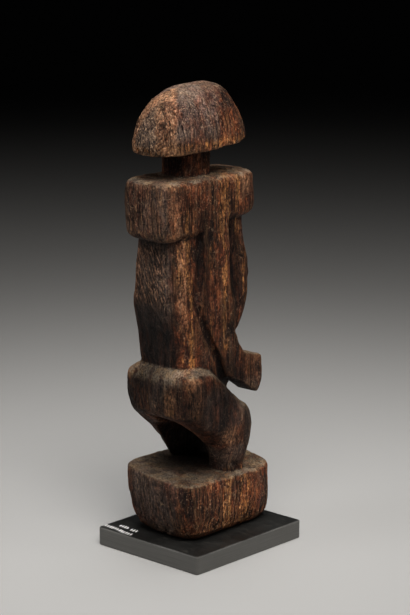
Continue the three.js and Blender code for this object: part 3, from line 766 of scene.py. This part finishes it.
    # dust on what faces up, thin scratches, pale flecks in the pores
    settled = n.mix(n.ramp(blotch, 0.44, 0.58), (0.250, 0.238, 0.216), (0.330, 0.268, 0.190))
    base = n.mix(n.math("MULTIPLY", dust, n.math("MULTIPLY", n.ramp(speck, 0.36, 0.60, 0.20, 1.0), n.ramp(grit, 0.34, 0.52, 0.45, 1.0))), base, settled)
    scratch = n.math("MULTIPLY", n.ramp(hairline, 0.012, 0.035, 1.0, 0.0), n.ramp(blotch, 0.50, 0.62))
    base = n.mix(n.math("MULTIPLY", scratch, n.math("ADD", n.math("MULTIPLY", cool, 0.5), 0.22)), base, (0.42, 0.33, 0.26))
    base = n.mix(n.ramp(speck, 0.61, 0.70, 0.0, 0.65), base, (0.42, 0.32, 0.24))
    # tone brings in the darker and lighter patches and the painted light and shade
    base = n.gain(base, n.math("MULTIPLY", tone, 2.0))
    base = n.mix(1.0, base, (1.0, 0.84, 0.68), "MULTIPLY")
    base = n.gain(base, 1.10)
    n.put(n.shader.inputs["Base Color"], base)

    rough = n.ramp(blotch, 0.3, 0.7, 0.55, 0.76)
    rough = n.math("ADD", rough, n.math("MULTIPLY", dust, 0.18), True)
    n.put(n.shader.inputs["Roughness"], rough)
    n.shader.inputs["Specular IOR Level"].default_value = 0.13

    b = n.bump(n.math("SUBTRACT", 1.0, checks), 0.00045, 1.0)
    b = n.bump(n.ramp(thread, 0.35, 0.75), 0.00030, 1.0, b)
    b = n.bump(n.ramp(streak, 0.30, 0.75), 0.00045, 0.8, b)
    b = n.bump(grit, 0.00060, 0.8, b)
    b = n.bump(speck, 0.00035, 1.0, b)
    n.put(n.shader.inputs["Normal"], b)
    return n.material


figure.data.materials.clear()
figure.data.materials.append(wood_material())
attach(figure, "root")
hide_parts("figure")


# ------------------------------------------------------------------ plate
def plate_material():
    n = Nodes("plate_black")
    geometry = n.add("ShaderNodeNewGeometry")
    split = n.add("ShaderNodeSeparateXYZ")
    n.tree.links.new(geometry.outputs["Normal"], split.inputs[0])
    upward = n.ramp(split.outputs[2], 0.3, 0.9)
    haze = n.noise((26, 26, 26), 4, 0.6, 0.4, 11)
    grit = n.noise((0.9, 0.9, 0.9), 2, 0.6, 0.0, 12)
    brushed = n.noise((38, 38, 0.5), 3, 0.6, 0.0, 13)
    smear = n.noise((14, 5, 9), 4, 0.6, 0.8, 14)
    top = n.mix(n.ramp(haze, 0.35, 0.7), (0.0075, 0.0075, 0.0070), (0.017, 0.017, 0.016))
    # painted sheen: the upright sides are given a much lighter colour than the top
    side = n.mix(n.ramp(brushed, 0.3, 0.7), (0.054, 0.052, 0.047), (0.076, 0.073, 0.067))
    top = n.mix(n.ramp(n.noise((7, 2.2, 7), 4, 0.7, 0.6, 16), 0.50, 0.72, 0.0, 0.55), top, (0.052, 0.049, 0.043))
    base = n.mix(upward, side, top)
    place = n.add("ShaderNodeTexCoord")
    axes = n.add("ShaderNodeSeparateXYZ")
    n.tree.links.new(place.outputs["Object"], axes.inputs[0])
    # painted highlight along the outer rim of the top
    rim_highlight = n.math("MAXIMUM", n.ramp(n.math("ABSOLUTE", axes.outputs[0]), 0.0429, 0.0437), n.ramp(n.math("ABSOLUTE", axes.outputs[1]), 0.0489, 0.0497))
    rim_highlight = n.math("MULTIPLY", rim_highlight, n.ramp(axes.outputs[2], 0.0108, 0.0116))
    base = n.mix(n.math("MULTIPLY", rim_highlight, n.ramp(haze, 0.35, 0.65, 0.25, 0.75)), base, (0.115, 0.112, 0.104))
    base = n.mix(n.ramp(grit, 0.70, 0.84, 0.0, 0.30), base, (0.16, 0.155, 0.145))
    n.put(n.shader.inputs["Base Color"], base)
    rough = n.math("ADD", n.ramp(smear, 0.3, 0.7, 0.30, 0.44), n.ramp(grit, 0.55, 0.8, 0.0, 0.16))
    n.put(n.shader.inputs["Roughness"], rough)
    n.shader.inputs["Specular IOR Level"].default_value = 0.5
    b = n.bump(grit, 0.00004, 0.5)
    b = n.bump(smear, 0.00008, 0.4, b)
    n.put(n.shader.inputs["Normal"], b)
    return n.material


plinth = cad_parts["plinth"]
plate = plate_material()
if plinth.material_slots:
    for s in plinth.material_slots:
        s.link = "OBJECT"
        s.material = plate
else:
    plinth.data.materials.append(plate)


# ------------------------------------------------------------------ two rows of pale paint strokes on the plate
def marks():
    """Shallow dabs of pale paint in two rows near the back left corner."""
    import bmesh  # noqa: PLC0415

    rng = np.random.default_rng(19)
    bm = bmesh.new()
    top = 12.03
    dabs = []
    for across, slant, first, last in [(44.2, 0.09, 42.2, 31.0), (45.8, 0.09, 28.4, 17.0), (38.4, 0.06, 34.6, 26.2), (39.4, 0.06, 23.8, 17.6)]:
        at = first
        while at > last:
            tall = rng.uniform(3.6, 4.8)
            dabs.append((at, across + slant * (first - at) + rng.uniform(-0.4, 0.4), tall, rng.uniform(0.22, 0.38), rng.uniform(0.95, 1.25)))
            at -= rng.uniform(2.0, 2.3)
    for x0, y0, tall, turn, wide in dabs:
        ring = []
        for k in range(14):
            t = 2 * math.pi * k / 14
            a = 0.5 * wide * math.cos(t) * (1 + 0.18 * rng.uniform(-1, 1))
            b = 0.5 * tall * math.sin(t) * (1 + 0.08 * rng.uniform(-1, 1))
            ring.append((a * math.cos(turn) - b * math.sin(turn), a * math.sin(turn) + b * math.cos(turn)))
        lower = [bm.verts.new(((x0 + x) * MM, (y0 + y) * MM, (top - 0.02) * MM)) for x, y in ring]
        upper = [bm.verts.new(((x0 + 0.86 * x) * MM, (y0 + 0.86 * y) * MM, (top + 0.07) * MM)) for x, y in ring]
        for k in range(14):
            j = (k + 1) % 14
            bm.faces.new((lower[k], lower[j], upper[j], upper[k]))
        bm.faces.new(upper)
        bm.faces.new(list(reversed(lower)))
    bmesh.ops.recalc_face_normals(bm, faces=bm.faces)
    mesh = bpy.data.meshes.new("plate_marks")
    bm.to_mesh(mesh)
    bm.free()
    o = bpy.data.objects.new("plate_marks", mesh)
    bpy.context.scene.collection.objects.link(o)
    n = Nodes("mark_paint")
    patch = n.noise((1.4, 1.4, 1.4), 3, 0.6, 0.3, 21)
    n.put(n.shader.inputs["Base Color"], n.mix(n.ramp(patch, 0.3, 0.75), (0.95, 0.95, 0.94), (0.70, 0.70, 0.69)))
    n.put(n.shader.inputs["Roughness"], n.ramp(patch, 0.3, 0.7, 0.55, 0.75))
    n.put(n.shader.inputs["Normal"], n.bump(patch, 0.00005, 0.5))
    mesh.materials.append(n.material)
    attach(o, "root")
    return o


marks()

# ------------------------------------------------------------------ floor, light, camera
def floor():
    size = 8.0
    mesh = bpy.data.meshes.new("floor")
    mesh.from_pydata([(-size, -size, 0), (size, -size, 0), (size, size, 0), (-size, size, 0)], [], [(0, 1, 2, 3)])
    o = bpy.data.objects.new("floor", mesh)
    bpy.context.scene.collection.objects.link(o)
    n = Nodes("floor_pale")
    tone = n.noise((400, 400, 400), 2, 0.5, 0.0, 31)
    n.put(n.shader.inputs["Base Color"], n.mix(tone, (0.396, 0.391, 0.383), (0.429, 0.424, 0.416)))
    n.shader.inputs["Roughness"].default_value = 0.8
    mesh.materials.append(n.material)
    return o


floor()

CAMERA = np.array([-1.0144, 1.0936, 0.5232])
AZIMUTH, PITCH, FOCAL_PX = 222.721, 13.78, 2400.0

camera_data = bpy.data.cameras.new("camera")
camera_data.sensor_fit = "AUTO"
camera_data.sensor_width = 36.0
camera_data.lens = 36.0 * FOCAL_PX / 615.0
camera_data.clip_start = 0.05
camera_data.clip_end = 50.0
camera = bpy.data.objects.new("camera", camera_data)
camera.location = CAMERA
camera.rotation_euler = (math.radians(90 - PITCH), 0.0, math.radians(AZIMUTH))
bpy.context.scene.collection.objects.link(camera)
bpy.context.scene.camera = camera

centre = np.array([0.0, 0.0, 0.15])
to_camera = np.array([CAMERA[0], CAMERA[1], 0.0]) / np.hypot(CAMERA[0], CAMERA[1])
to_right = np.array([math.cos(math.radians(AZIMUTH)), math.sin(math.radians(AZIMUTH)), 0.0])


def soft_light(name, toward, right, up, size, watts, colour=(1, 1, 1), spread=180, aim=0.0):
    data = bpy.data.lights.new(name, "AREA")
    data.shape = "RECTANGLE"
    data.size, data.size_y = size
    data.energy = watts
    data.color = colour
    data.spread = math.radians(spread)
    o = bpy.data.objects.new(name, data)
    at = centre + to_camera * toward + to_right * right + np.array([0, 0, up])
    o.location = at
    from mathutils import Vector  # noqa: PLC0415
    o.rotation_euler = (Vector(centre + to_camera * aim) - Vector(at)).to_track_quat("-Z", "Y").to_euler()
    bpy.context.scene.collection.objects.link(o)
    return o


soft_light("key", 0.80, 0.12, 1.05, (1.2, 0.8), 3.76, (1.0, 0.975, 0.94), 53, 0.10)
soft_light("side_left", 0.30, -0.85, 0.45, (0.35, 0.8), 0.36, (0.97, 0.98, 1.0), 70)
soft_light("side_right", 0.30, 0.85, 0.45, (0.35, 0.8), 0.36, (1.0, 0.98, 0.96), 70)
soft_light("top", -0.20, 0.05, 1.15, (0.7, 0.7), 0.66, (1.0, 1.0, 1.0), 46)

world = bpy.data.worlds.new("studio")
bpy.context.scene.world = world
world.use_nodes = True
world.node_tree.nodes["Background"].inputs[0].default_value = (0.80, 0.82, 0.85, 1.0)
world.node_tree.nodes["Background"].inputs[1].default_value = 0.0015

bpy.context.scene.view_settings.view_transform = "Standard"
